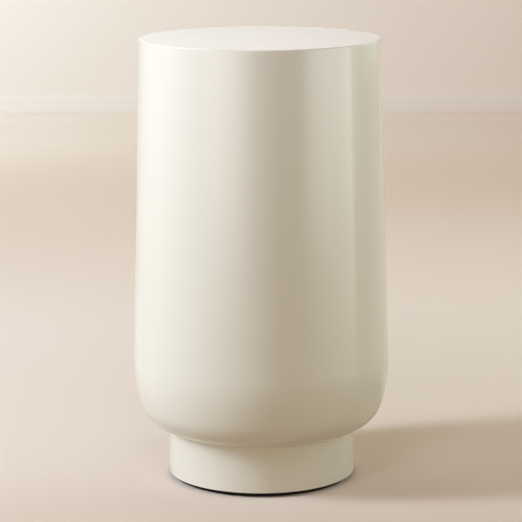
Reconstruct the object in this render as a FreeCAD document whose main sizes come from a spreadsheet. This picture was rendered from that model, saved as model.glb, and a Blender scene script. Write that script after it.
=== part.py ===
"""Drum drink table: a lacquered sheet steel drum on a round foot, closed and weighted at the base."""

import FreeCAD, Part
import math
import os
import Sketcher

# Driving dimensions, in millimetres and degrees: alias, value, what it is.
DIMENSIONS = [
    ("table_height", 525.0, "floor to the face of the top"),
    ("foot_diameter", 222.0, "across the foot"),
    ("foot_height", 59.5, "floor to where the foot's face meets the underside"),
    ("underside_run", 9.0, "straight part of the underside, measured level"),
    ("underside_slope", 23.0, "slope of the underside from level"),
    ("corner_radius", 44.5, "round lower corner of the drum"),
    ("shoulder_lean", 15.7, "lean of the wall where the corner runs into the shoulder"),
    ("shoulder_radius", 186.0, "slow curve between the corner and the straight side"),
    ("side_taper", 1.68, "lean of the straight side towards the top"),
    ("shell_wall", 1.2, "sheet of the side and the bowl"),
    ("top_thickness", 2.0, "sheet of the top"),
    ("rim_radius", 1.5, "rounding of the top's edge"),
    ("weld_gap", 0.2, "fit between rolled pieces that are welded"),
    ("seat_width", 20.0, "level leg of the ring under the top"),
    ("seat_depth", 15.0, "upright leg of the ring under the top"),
    ("seat_wall", 2.0, "thickness of the ring under the top"),
    ("board_thickness", 12.0, "board behind the top"),
    ("board_gap", 2.0, "room round the board"),
    ("hoop_height", 24.0, "backing hoop behind the shell's weld"),
    ("hoop_wall", 1.5, "thickness of the backing hoop"),
    ("collar_height", 14.0, "bowl's collar inside the foot"),
    ("foot_wall", 2.0, "sheet of the foot"),
    ("pad_setback", 6.5, "floor pad's edge behind the foot's face"),
    ("pad_thickness", 5.6, "floor pad"),
    ("plate_thickness", 4.0, "plate that closes the foot"),
    ("plate_gap", 0.6, "room between the plate and the foot"),
    ("lug_count", 4, "lugs round the foot"),
    ("lug_width", 24.0, "lug, along the foot's wall"),
    ("lug_reach", 26.0, "level leg of a lug"),
    ("lug_height", 20.0, "upright leg of a lug"),
    ("lug_wall", 3.0, "thickness of a lug"),
    ("lug_bend", 2.0, "inside radius of a lug's bend"),
    ("screw_inset", 16.0, "plate screw's axis from the foot's inner face"),
    ("screw_diameter", 5.0, "plate screw"),
    ("screw_head", 9.2, "across the plate screw's head"),
    ("screw_end", 1.1, "plate screw past its nut"),
    ("screw_socket", 3.0, "hex socket across flats, plate screw"),
    ("screw_socket_depth", 1.8, "hex socket depth, plate screw"),
    ("screw_nut_width", 8.0, "weld nut across flats"),
    ("screw_nut_height", 4.0, "weld nut"),
    ("ballast_gap", 7.0, "room between the weight and the lugs"),
    ("ballast_thickness", 14.0, "weight"),
    ("ballast_chamfer", 1.5, "broken edges of the weight"),
    ("bolt_count", 3, "bolts through the weight"),
    ("bolt_inset", 30.0, "bolt's axis from the weight's edge"),
    ("bolt_diameter", 6.0, "bolt through the weight"),
    ("bolt_head", 11.8, "across the bolt's head"),
    ("bolt_end", 3.5, "bolt past its nut"),
    ("bolt_socket", 4.0, "hex socket across flats, bolt"),
    ("bolt_socket_depth", 2.4, "hex socket depth, bolt"),
    ("washer_diameter", 12.0, "washer on the weight"),
    ("washer_thickness", 1.6, "washer on the weight"),
    ("bolt_nut_width", 10.0, "nut across flats"),
    ("bolt_nut_height", 5.0, "nut"),
    ("hole_gap", 0.3, "room round a shank in its hole"),
    ("head_gap", 0.2, "room round a countersunk head"),
    ("head_recess", 0.1, "head below the plate's face"),
    ("thread_gap", 0.05, "room between a shank and its nut"),
    ("cut_overrun", 1.0, "how far a cutter runs past what it cuts"),
]

doc = FreeCAD.newDocument("drink_table")
sizes = doc.addObject("Spreadsheet::Sheet", "sizes")
for row, (alias, value, note) in enumerate(DIMENSIONS, start=1):
    sizes.set(f"A{row}", note)
    sizes.set(f"B{row}", str(value))
    sizes.setAlias(f"B{row}", alias)
doc.recompute()

# The pieces that leave as files of their own: label and object.
PIECES = []


def named(formula):
    """Formula with each dimension's name led to its cell."""
    return formula.format(**{alias: f"sizes.{alias}" for alias, _, _ in DIMENSIONS})


def worth(formula):
    """Number that a formula has with the present dimensions."""
    return float(sizes.evalExpression(named(formula)))


def bind(target, path, formula):
    """Ties one property of an object to a formula of the dimensions."""
    target.setExpression(path, named(formula))


def keep(piece, label):
    """Adds a finished piece to those that leave as files."""
    piece.Label = label
    PIECES.append((label, piece))
    return piece


def plane_of(body, role):
    """Origin plane of a body, by its role."""
    return next(plane for plane in body.Origin.OriginFeatures if plane.Role == role)


def sketch_on(body, role, label):
    """Empty sketch on one of a body's own origin planes."""
    sketch = body.newObject("Sketcher::SketchObject", label)
    sketch.AttachmentSupport = (plane_of(body, role), [""])
    sketch.MapMode = "FlatFace"
    return sketch


def arc_between(start, end, radius, side):
    """Arc of under a half turn from start to end, with its centre to the left (1) or right (-1)."""
    chord = end - start
    middle = (start + end) / 2
    reach = math.sqrt(max(radius**2 - (chord.Length / 2) ** 2, 0))
    across = FreeCAD.Vector(-chord.y, chord.x, 0).normalize()
    centre = middle + across * reach * side
    first = math.atan2(start.y - centre.y, start.x - centre.x)
    last = math.atan2(end.y - centre.y, end.x - centre.x)
    circle = Part.Circle(centre, FreeCAD.Vector(0, 0, 1), radius)
    return Part.ArcOfCircle(circle, first, last) if side > 0 else Part.ArcOfCircle(circle, last, first)


def draw_outline(sketch, corners, arcs=None):
    """Closed outline through corners given as pairs of formulas.

    Side n runs from corner n to the next one. It is straight, or an arc if arcs holds n with a pair:
    the radius, and 1 or -1 for a centre to the left or right of the way round.
    """
    arcs = arcs or {}
    points = [FreeCAD.Vector(worth(across), worth(up), 0) for across, up in corners]
    starts, ends = [], []
    for side, point in enumerate(points):
        following = points[(side + 1) % len(points)]
        if side in arcs:
            radius, turn = arcs[side]
            sketch.addGeometry(arc_between(point, following, worth(radius), turn))
            starts.append(1 if turn > 0 else 2)
            ends.append(2 if turn > 0 else 1)
        else:
            sketch.addGeometry(Part.LineSegment(point, following))
            starts.append(1)
            ends.append(2)
    for side in range(len(points)):
        following = (side + 1) % len(points)
        sketch.addConstraint(
            Sketcher.Constraint("Coincident", side, ends[side], following, starts[following])
        )
    for side, (across, up) in enumerate(corners):
        for kind, axis, formula in (("DistanceX", "across", across), ("DistanceY", "up", up)):
            place = Sketcher.Constraint(kind, -1, 1, side, starts[side], worth(formula))
            sketch.renameConstraint(sketch.addConstraint(place), f"{axis}_{side}")
            bind(sketch, f"Constraints.{axis}_{side}", formula)
    for side, (radius, _) in arcs.items():
        size = Sketcher.Constraint("Radius", side, worth(radius))
        sketch.renameConstraint(sketch.addConstraint(size), f"radius_{side}")
        bind(sketch, f"Constraints.radius_{side}", radius)
    return sketch


def draw_spot(sketch, across, radius):
    """Circle on the sketch's level axis, at a distance from its origin."""
    centre = FreeCAD.Vector(worth(across), 0, 0)
    sketch.addGeometry(Part.Circle(centre, FreeCAD.Vector(0, 0, 1), worth(radius)))
    sketch.addConstraint(Sketcher.Constraint("PointOnObject", 0, 3, -1))
    place = Sketcher.Constraint("DistanceX", -1, 1, 0, 3, worth(across))
    sketch.renameConstraint(sketch.addConstraint(place), "across")
    bind(sketch, "Constraints.across", across)
    size = Sketcher.Constraint("Radius", 0, worth(radius))
    sketch.renameConstraint(sketch.addConstraint(size), "radius")
    bind(sketch, "Constraints.radius", radius)
    return sketch


def turned_body(label, corners, arcs=None):
    """Body made by turning an outline, given as radius and height, once round the upright axis."""
    body = doc.addObject("PartDesign::Body", f"{label}_body")
    outline = draw_outline(sketch_on(body, "XZ_Plane", f"{label}_outline"), corners, arcs)
    turn = body.newObject("PartDesign::Revolution", f"{label}_turn")
    turn.Profile = outline
    turn.ReferenceAxis = (outline, ["V_Axis"])
    turn.Angle = 360
    doc.recompute()
    return body


def cylinder(label, radius, height, base="0"):
    """Upright cylinder on the axis, bound to formulas."""
    solid = doc.addObject("Part::Cylinder", label)
    bind(solid, "Radius", radius)
    bind(solid, "Height", height)
    bind(solid, "Placement.Base.z", base)
    return solid


def cone(label, lower, upper, height, base="0"):
    """Upright cone on the axis, bound to formulas."""
    solid = doc.addObject("Part::Cone", label)
    bind(solid, "Radius1", lower)
    bind(solid, "Radius2", upper)
    bind(solid, "Height", height)
    bind(solid, "Placement.Base.z", base)
    return solid


def hexagon(label, width, height, base="0"):
    """Upright six-sided prism on the axis, given across its flats."""
    solid = doc.addObject("Part::Prism", label)
    solid.Polygon = 6
    bind(solid, "Circumradius", f"({width}) / 2 / cos(30)")
    bind(solid, "Height", height)
    bind(solid, "Placement.Base.z", base)
    return solid


def joined(label, pieces):
    """Several solids made one."""
    solid = doc.addObject("Part::MultiFuse", label)
    solid.Shapes = pieces
    return solid


def cut(label, stock, cutter):
    """Stock with the cutter taken out."""
    solid = doc.addObject("Part::Cut", label)
    solid.Base = stock
    solid.Tool = cutter
    return solid


def set_round(piece, circle, height, count, index):
    """Stands a piece at its place in a ring of equal pieces; circle is the ring's radius."""
    angle = f"360 * {index} / ({count})"
    bind(piece, "Placement.Base.x", f"{circle} * cos({angle})")
    bind(piece, "Placement.Base.y", f"{circle} * sin({angle})")
    bind(piece, "Placement.Base.z", height)
    bind(piece, "Placement.Rotation.Angle", angle)
    return piece


def ring_of(label, make, circle, height, count):
    """Group of equal separate solids set round the axis."""
    members = [
        set_round(make(f"{label}_{index + 1}"), circle, height, count, index)
        for index in range(round(worth(count)))
    ]
    group = doc.addObject("Part::Compound", f"{label}_group")
    group.Links = members
    return group


# The drum's outer outline, from the foot up: a sloping underside, a round corner, a slow shoulder and
# a straight tapering side, each tangent to the next.
FOOT_RADIUS = "({foot_diameter} / 2)"
CORNER_ACROSS = f"({FOOT_RADIUS} + {{underside_run}} - {{corner_radius}} * sin({{underside_slope}}))"
CORNER_RISE = "({underside_run} * tan({underside_slope}) + {corner_radius} * cos({underside_slope}))"
CORNER_UP = f"({{foot_height}} + {CORNER_RISE})"
CENTRE_STEP = "({shoulder_radius} - {corner_radius})"
SHOULDER_ACROSS = f"({CORNER_ACROSS} - {CENTRE_STEP} * cos({{shoulder_lean}}))"
SHOULDER_UP = f"({CORNER_UP} + {CENTRE_STEP} * sin({{shoulder_lean}}))"


def corner_end(inset):
    """Where the underside runs into the corner, at a depth into the wall."""
    radius = f"({{corner_radius}} - ({inset}))"
    return (
        f"{CORNER_ACROSS} + {radius} * sin({{underside_slope}})",
        f"{CORNER_UP} - {radius} * cos({{underside_slope}})",
    )


def shoulder_start(inset):
    """Where the corner runs into the shoulder, at a depth into the wall."""
    radius = f"({{shoulder_radius}} - ({inset}))"
    return (
        f"{SHOULDER_ACROSS} + {radius} * cos({{shoulder_lean}})",
        f"{SHOULDER_UP} - {radius} * sin({{shoulder_lean}})",
    )


def shoulder_end(inset):
    """Where the shoulder runs into the straight side, at a depth into the wall."""
    radius = f"({{shoulder_radius}} - ({inset}))"
    return (
        f"({SHOULDER_ACROSS} + {radius} * cos({{side_taper}}))",
        f"({SHOULDER_UP} + {radius} * sin({{side_taper}}))",
    )


def side_radius(height, inset="0"):
    """Radius at a height of the straight side, or of a wall inset square to it."""
    across, up = shoulder_end("0")
    return f"({across} - ({height} - {up}) * tan({{side_taper}}) - ({inset}) / cos({{side_taper}}))"


def underside_height(radius):
    """Height of the sloping underside at a radius."""
    return f"({{foot_height}} + ({radius} - {FOOT_RADIUS}) * tan({{underside_slope}}))"


# Faces and circles that more than one piece is set by.
PANEL_UNDERSIDE = "({table_height} - {top_thickness})"
FOOT_INSIDE = f"({FOOT_RADIUS} - {{foot_wall}})"
COLLAR_RADIUS = f"({FOOT_INSIDE} - {{weld_gap}})"
PLATE_TOP = "({pad_thickness} + {plate_thickness})"
HEAD_FACE = "({pad_thickness} + {head_recess})"
LUG_BACK = f"sqrt(({FOOT_INSIDE} - {{weld_gap}})^2 - ({{lug_width}} / 2)^2)"
SCREW_CIRCLE = f"({FOOT_INSIDE} - {{screw_inset}})"
BALLAST_RADIUS = f"({LUG_BACK} - {{lug_reach}} - {{ballast_gap}})"
BALLAST_TOP = f"({PLATE_TOP} + {{ballast_thickness}})"
BOLT_CIRCLE = f"({BALLAST_RADIUS} - {{bolt_inset}})"
SCREW_LENGTH = "({plate_thickness} - {head_recess} + {lug_wall} + {screw_nut_height} + {screw_end})"
BOLT_GRIP = "({plate_thickness} - {head_recess} + {ballast_thickness} + {washer_thickness})"
BOLT_LENGTH = f"({BOLT_GRIP} + {{bolt_nut_height}} + {{bolt_end}})"


def make_top_panel():
    """Flat sheet top, its edge in line with the drum's side and its rim rounded."""
    edge = side_radius("{table_height}")
    # How far from the sharp edge the rounding leaves the face and the side.
    setback = "({rim_radius} * tan(45 - {side_taper} / 2))"
    rim_start = f"({{table_height}} - {setback} * cos({{side_taper}}))"
    corners = [
        ("0", PANEL_UNDERSIDE),
        (side_radius(PANEL_UNDERSIDE), PANEL_UNDERSIDE),
        (side_radius(rim_start), rim_start),
        (f"{edge} - {setback}", "{table_height}"),
        ("0", "{table_height}"),
    ]
    return keep(turned_body("top_panel", corners, {2: ("{rim_radius}", 1)}), "top_panel")


def make_side_shell():
    """Rolled side between the top and the bowl, square-cut at its lower edge."""
    corners = [
        shoulder_end("0"),
        (side_radius(PANEL_UNDERSIDE), PANEL_UNDERSIDE),
        (side_radius(PANEL_UNDERSIDE, "{shell_wall}"), PANEL_UNDERSIDE),
        shoulder_end("{shell_wall}"),
    ]
    return keep(turned_body("side_shell", corners), "side_shell")


def make_top_seat_ring():
    """Rolled angle inside the side's upper edge: a level leg under the top and an upright leg."""
    outer = "{shell_wall} + {weld_gap}"
    inner = f"{outer} + {{seat_wall}}"
    leg_end = f"({PANEL_UNDERSIDE} - {{seat_depth}})"
    ledge = f"({PANEL_UNDERSIDE} - {{seat_wall}})"
    reach = f"{side_radius(PANEL_UNDERSIDE, outer)} - {{seat_width}}"
    corners = [
        (side_radius(leg_end, outer), leg_end),
        (side_radius(PANEL_UNDERSIDE, outer), PANEL_UNDERSIDE),
        (reach, PANEL_UNDERSIDE),
        (reach, ledge),
        (side_radius(ledge, inner), ledge),
        (side_radius(leg_end, inner), leg_end),
    ]
    return keep(turned_body("top_seat_ring", corners), "top_seat_ring")


def make_top_backing_board():
    """Round board glued under the top, inside the seat ring."""
    seat_face = side_radius(PANEL_UNDERSIDE, "{shell_wall} + {weld_gap}")
    board = cylinder(
        "top_backing_board",
        f"{seat_face} - {{seat_width}} - {{board_gap}}",
        "{board_thickness}",
        f"{PANEL_UNDERSIDE} - {{board_thickness}}",
    )
    return keep(board, "top_backing_board")


def make_seam_hoop():
    """Crowned hoop behind the weld of side and bowl, curved about the shoulder's own centre."""
    outer = "({shoulder_radius} - {shell_wall} - {weld_gap})"
    inner = f"({outer} - {{hoop_wall}})"
    seam = shoulder_end("0")[1]
    lower = f"({seam} - {{hoop_height}} / 2)"
    upper = f"({seam} + {{hoop_height}} / 2)"

    def on_arc(radius, height):
        """Point of the hoop's face of that radius, at a height."""
        return (f"{SHOULDER_ACROSS} + sqrt({radius}^2 - ({height} - {SHOULDER_UP})^2)", height)

    corners = [on_arc(outer, lower), on_arc(outer, upper), on_arc(inner, upper), on_arc(inner, lower)]
    return keep(turned_body("seam_hoop", corners, {0: (outer, 1), 2: (inner, -1)}), "seam_hoop")


def make_bottom_bowl():
    """Spun bowl: shoulder, round corner, sloping underside, and a collar that drops into the foot."""
    wall = "{shell_wall}"
    bend_height = underside_height(COLLAR_RADIUS)
    collar_end = f"({bend_height} - {{collar_height}})"
    corners = [
        shoulder_end("0"),
        shoulder_end(wall),
        shoulder_start(wall),
        corner_end(wall),
        (
            f"{COLLAR_RADIUS} - {wall} * sin({{underside_slope}})",
            f"{bend_height} + {wall} * cos({{underside_slope}})",
        ),
        (f"{COLLAR_RADIUS} - {wall}", bend_height),
        (f"{COLLAR_RADIUS} - {wall}", collar_end),
        (COLLAR_RADIUS, collar_end),
        (COLLAR_RADIUS, bend_height),
        corner_end("0"),
        shoulder_start("0"),
    ]
    arcs = {
        1: (f"{{shoulder_radius}} - {wall}", -1),
        2: (f"{{corner_radius}} - {wall}", -1),
        4: (wall, 1),
        9: ("{corner_radius}", 1),
        10: ("{shoulder_radius}", 1),
    }
    return keep(turned_body("bottom_bowl", corners, arcs), "bottom_bowl")


def make_foot_ring():
    """Rolled foot with a square lower edge, its upper edge cut to the underside's slope."""
    corners = [
        (FOOT_INSIDE, "{pad_thickness}"),
        (FOOT_RADIUS, "{pad_thickness}"),
        (FOOT_RADIUS, underside_height(FOOT_RADIUS)),
        (FOOT_INSIDE, underside_height(FOOT_INSIDE)),
    ]
    return keep(turned_body("foot_ring", corners), "foot_ring")


def make_foot_lug(index):
    """Angle lug inside the foot: an upright leg on the wall and a level leg on the plate, with its hole."""
    label = f"foot_lug_{index + 1}"
    body = doc.addObject("PartDesign::Body", f"{label}_body")
    outer_bend = "({lug_bend} + {lug_wall})"
    corners = [
        (f"{LUG_BACK} - {{lug_reach}}", PLATE_TOP),
        (f"{LUG_BACK} - {outer_bend}", PLATE_TOP),
        (LUG_BACK, f"{PLATE_TOP} + {outer_bend}"),
        (LUG_BACK, f"{PLATE_TOP} + {{lug_height}}"),
        (f"{LUG_BACK} - {{lug_wall}}", f"{PLATE_TOP} + {{lug_height}}"),
        (f"{LUG_BACK} - {{lug_wall}}", f"{PLATE_TOP} + {outer_bend}"),
        (f"{LUG_BACK} - {outer_bend}", f"{PLATE_TOP} + {{lug_wall}}"),
        (f"{LUG_BACK} - {{lug_reach}}", f"{PLATE_TOP} + {{lug_wall}}"),
    ]
    outline = draw_outline(
        sketch_on(body, "XZ_Plane", f"{label}_outline"),
        corners,
        {1: (outer_bend, 1), 5: ("{lug_bend}", -1)},
    )
    bar = body.newObject("PartDesign::Pad", f"{label}_bar")
    bar.Profile = outline
    bar.SideType = "Symmetric"
    bind(bar, "Length", "{lug_width}")
    doc.recompute()
    blank = bar.Shape.Volume
    spot = draw_spot(
        sketch_on(body, "XY_Plane", f"{label}_spot"), SCREW_CIRCLE, "{screw_diameter} / 2 + {hole_gap}"
    )
    hole = body.newObject("PartDesign::Pocket", f"{label}_hole")
    hole.Profile = spot
    hole.Type = "ThroughAll"
    hole.SideType = "Symmetric"
    doc.recompute()
    if not hole.Shape.Volume < blank:
        raise RuntimeError(f"{label}: the hole cut nothing")
    bind(body, "Placement.Rotation.Angle", f"360 * {index} / {{lug_count}}")
    return keep(body, label)


def countersunk(label, diameter, head, length, socket, socket_depth):
    """Countersunk screw with its head down at its own zero, and a hex socket."""
    head_height = f"(({head}) - ({diameter})) / 2"
    top = cone(f"{label}_head", f"({head}) / 2", f"({diameter}) / 2", head_height)
    shank = cylinder(f"{label}_shank", f"({diameter}) / 2", length)
    socket_cut = hexagon(
        f"{label}_socket", socket, f"{socket_depth} + {{cut_overrun}}", "-{cut_overrun}"
    )
    return cut(f"{label}_screw", joined(f"{label}_blank", [top, shank]), socket_cut)


def screw_seat(label, diameter, head):
    """Cutter for a through hole with a countersink at its own zero."""
    bore = f"({diameter} / 2 + {{hole_gap}})"
    mouth = f"({head} / 2 + {{head_gap}})"
    sink = cone(f"{label}_sink", mouth, bore, f"{mouth} - {bore}")
    hole = cylinder(
        f"{label}_bore", bore, "{plate_thickness} + {cut_overrun} * 2", "-{cut_overrun}"
    )
    return joined(f"{label}_seat", [sink, hole])


def hex_nut(label, width, height, diameter):
    """Plain hex nut with a bore that clears the shank."""
    bore = cylinder(
        f"{label}_bore",
        f"{diameter} / 2 + {{thread_gap}}",
        f"{height} + {{cut_overrun}} * 2",
        "-{cut_overrun}",
    )
    return cut(f"{label}_nut", hexagon(f"{label}_blank", width, height), bore)


def make_base_plate():
    """Plate that closes the foot, with countersunk holes for its screws and for the weight's bolts."""
    stock = cylinder(
        "base_plate_stock", f"{FOOT_INSIDE} - {{plate_gap}}", "{plate_thickness}", "{pad_thickness}"
    )
    screw_seats = ring_of(
        "plate_screw_seat",
        lambda label: screw_seat(label, "{screw_diameter}", "{screw_head}"),
        SCREW_CIRCLE, "{pad_thickness}", "{lug_count}",
    )
    bolt_seats = ring_of(
        "plate_bolt_seat",
        lambda label: screw_seat(label, "{bolt_diameter}", "{bolt_head}"),
        BOLT_CIRCLE, "{pad_thickness}", "{bolt_count}",
    )
    return keep(cut("base_plate", cut("base_plate_drilled", stock, screw_seats), bolt_seats), "base_plate")


def make_base_screws():
    """Countersunk screws, up through the plate into the lugs."""
    screws = ring_of(
        "base_screw",
        lambda label: countersunk(
            label, "{screw_diameter}", "{screw_head}", SCREW_LENGTH,
            "{screw_socket}", "{screw_socket_depth}",
        ),
        SCREW_CIRCLE, HEAD_FACE, "{lug_count}",
    )
    return keep(screws, "base_screws")


def make_lug_nuts():
    """Weld nuts on the lugs' level legs."""
    nuts = ring_of(
        "lug_nut",
        lambda label: hex_nut(label, "{screw_nut_width}", "{screw_nut_height}", "{screw_diameter}"),
        SCREW_CIRCLE, f"{PLATE_TOP} + {{lug_wall}}", "{lug_count}",
    )
    return keep(nuts, "lug_nuts")


def make_ballast_disc():
    """Cast weight on the plate, its edges broken, drilled for its bolts."""
    corners = [
        ("0", PLATE_TOP),
        (f"{BALLAST_RADIUS} - {{ballast_chamfer}}", PLATE_TOP),
        (BALLAST_RADIUS, f"{PLATE_TOP} + {{ballast_chamfer}}"),
        (BALLAST_RADIUS, f"{BALLAST_TOP} - {{ballast_chamfer}}"),
        (f"{BALLAST_RADIUS} - {{ballast_chamfer}}", BALLAST_TOP),
        ("0", BALLAST_TOP),
    ]
    drills = ring_of(
        "ballast_drill",
        lambda label: cylinder(
            label, "{bolt_diameter} / 2 + {hole_gap}", "{ballast_thickness} + {cut_overrun} * 2"
        ),
        BOLT_CIRCLE, f"{PLATE_TOP} - {{cut_overrun}}", "{bolt_count}",
    )
    return keep(cut("ballast_disc", turned_body("ballast_blank", corners), drills), "ballast_disc")


def make_ballast_bolts():
    """Countersunk bolts, up through the plate and the weight."""
    bolts = ring_of(
        "ballast_bolt",
        lambda label: countersunk(
            label, "{bolt_diameter}", "{bolt_head}", BOLT_LENGTH,
            "{bolt_socket}", "{bolt_socket_depth}",
        ),
        BOLT_CIRCLE, HEAD_FACE, "{bolt_count}",
    )
    return keep(bolts, "ballast_bolts")


def make_ballast_washers():
    """Plain washers on the weight."""

    def washer(label):
        bore = cylinder(
            f"{label}_bore", "{bolt_diameter} / 2 + {hole_gap}",
            "{washer_thickness} + {cut_overrun} * 2", "-{cut_overrun}",
        )
        blank = cylinder(f"{label}_blank", "{washer_diameter} / 2", "{washer_thickness}")
        return cut(f"{label}_washer", blank, bore)

    washers = ring_of("ballast_washer", washer, BOLT_CIRCLE, BALLAST_TOP, "{bolt_count}")
    return keep(washers, "ballast_washers")


def make_ballast_nuts():
    """Nuts on the washers."""
    nuts = ring_of(
        "ballast_nut",
        lambda label: hex_nut(label, "{bolt_nut_width}", "{bolt_nut_height}", "{bolt_diameter}"),
        BOLT_CIRCLE, f"{BALLAST_TOP} + {{washer_thickness}}", "{bolt_count}",
    )
    return keep(nuts, "ballast_nuts")


def make_base_pad():
    """Floor pad glued under the plate, set back from the foot's face."""
    pad = cylinder("base_pad", f"{FOOT_RADIUS} - {{pad_setback}}", "{pad_thickness}")
    return keep(pad, "base_pad")


def write_pieces():
    """Checks every object and piece, then writes each piece to its own file."""
    doc.recompute()
    for item in doc.Objects:
        if "Invalid" in item.State or "Error" in item.State:
            raise RuntimeError(f"{item.Label}: {item.State}")
    for label, piece in PIECES:
        if piece.Shape.isNull() or not piece.Shape.isValid() or not piece.Shape.Solids:
            raise RuntimeError(f"{label}: no valid solid")
    os.makedirs("parts", exist_ok=True)
    for label, piece in PIECES:
        piece.Shape.exportStep(f"parts/{label}.step")
        print(label, "solids", len(piece.Shape.Solids), "volume", round(piece.Shape.Volume))


make_top_panel()
make_side_shell()
make_top_seat_ring()
make_top_backing_board()
make_seam_hoop()
make_bottom_bowl()
make_foot_ring()
for lug in range(round(worth("{lug_count}"))):
    make_foot_lug(lug)
make_lug_nuts()
make_base_plate()
make_base_screws()
make_ballast_disc()
make_ballast_bolts()
make_ballast_washers()
make_ballast_nuts()
make_base_pad()
write_pieces()
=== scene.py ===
"""Looks of the drink table: its sheet pieces, its finishes and a plain studio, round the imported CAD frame."""

import logging
import math
from dataclasses import dataclass, field
from enum import Enum
from typing import NamedTuple

import bmesh
import bpy
from mathutils import Matrix, Vector


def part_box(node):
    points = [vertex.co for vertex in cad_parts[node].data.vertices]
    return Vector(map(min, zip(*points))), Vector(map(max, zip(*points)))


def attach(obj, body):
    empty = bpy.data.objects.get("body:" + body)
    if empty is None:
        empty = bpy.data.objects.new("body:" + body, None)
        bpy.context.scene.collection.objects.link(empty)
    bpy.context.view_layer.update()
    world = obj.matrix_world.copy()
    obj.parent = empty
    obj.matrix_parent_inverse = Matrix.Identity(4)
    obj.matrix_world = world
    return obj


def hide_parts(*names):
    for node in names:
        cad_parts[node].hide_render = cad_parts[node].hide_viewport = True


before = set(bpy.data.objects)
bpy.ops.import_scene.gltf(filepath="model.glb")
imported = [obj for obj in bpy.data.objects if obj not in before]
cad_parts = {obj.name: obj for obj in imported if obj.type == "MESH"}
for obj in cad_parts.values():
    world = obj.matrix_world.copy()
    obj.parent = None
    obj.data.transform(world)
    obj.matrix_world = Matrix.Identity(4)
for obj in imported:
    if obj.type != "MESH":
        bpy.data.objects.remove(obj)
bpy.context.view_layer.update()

LOG = logging.getLogger("drink_table")

Place = tuple[float, float]
Span = tuple[float, float]
Point = tuple[float, float, float]
Colour = tuple[float, float, float]
Node = bpy.types.Node
Socket = bpy.types.NodeSocket
Solid = bmesh.types.BMesh

SAME_PLACE = 1e-6
QUARTER_TURN = math.pi / 2.0
FULL_TURN = 2.0 * math.pi
ORIGIN = (0.0, 0.0, 0.0)
UPRIGHT = (0.0, 0.0, 1.0)


class Turning(Enum):
    """How many steps a turned piece has round the axis."""

    SHEET = 256
    FASTENER = 48


# ---- shared forms


@dataclass(frozen=True)
class DrumForm:
    """The drum's half outline, with the CAD part's own values, in metres and radians."""

    table_height: float = 0.525
    foot_radius: float = 0.111
    foot_height: float = 0.0595
    underside_run: float = 0.009
    underside_slope: float = math.radians(23.0)
    corner_radius: float = 0.0445
    shoulder_lean: float = math.radians(15.7)
    shoulder_radius: float = 0.186
    side_taper: float = math.radians(1.68)

    def corner_centre(self) -> Vector:
        """Works out the centre of the round lower corner.

        Returns:
            The centre, as across, 0, up.
        """
        across = self.foot_radius + self.underside_run - self.corner_radius * math.sin(self.underside_slope)
        rise = self.underside_run * math.tan(self.underside_slope)
        up = self.foot_height + rise + self.corner_radius * math.cos(self.underside_slope)
        return Vector((across, 0.0, up))

    def shoulder_centre(self) -> Vector:
        """Centre of the shoulder's long arc, as across, 0, up."""
        lean = Vector((-math.cos(self.shoulder_lean), 0.0, math.sin(self.shoulder_lean)))
        return self.corner_centre() + (self.shoulder_radius - self.corner_radius) * lean

    def seam(self, inset: float = 0.0) -> Place:
        """Finds the place where the side meets the bowl.

        Args:
            inset: depth into the wall.

        Returns:
            Its radius and height.
        """
        reach = self.shoulder_radius - inset
        centre = self.shoulder_centre()
        return (centre.x + reach * math.cos(self.side_taper), centre.z + reach * math.sin(self.side_taper))

    def side_radius(self, height: float, inset: float = 0.0) -> float:
        """Radius of the tapered side at a height, some depth into the wall."""
        across, up = self.seam()
        return across - (height - up) * math.tan(self.side_taper) - inset / math.cos(self.side_taper)

    def underside_height(self, radius: float) -> float:
        """Height of the sloping underside at a radius."""
        return self.foot_height + (radius - self.foot_radius) * math.tan(self.underside_slope)

    def corner_end(self, inset: float = 0.0) -> Place:
        """Finds the place where the round corner runs into the sloping underside.

        Args:
            inset: depth into the wall.

        Returns:
            Its radius and height.
        """
        reach = self.corner_radius - inset
        centre = self.corner_centre()
        return (
            centre.x + reach * math.sin(self.underside_slope),
            centre.z - reach * math.cos(self.underside_slope),
        )


def spin(
    solid: Solid, parts: list, centre: Vector | Point, axis: Point, angle: float, steps: int, **ways: bool,
) -> dict[str, list]:
    """Spins parts of a mesh about an axis through a centre, and returns what that made."""
    turn = {"cent": centre, "axis": axis, "dvec": (0.0, 0.0, 0.0), "angle": angle, "steps": steps}
    return bmesh.ops.spin(solid, geom=parts, **turn, **ways)


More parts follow.
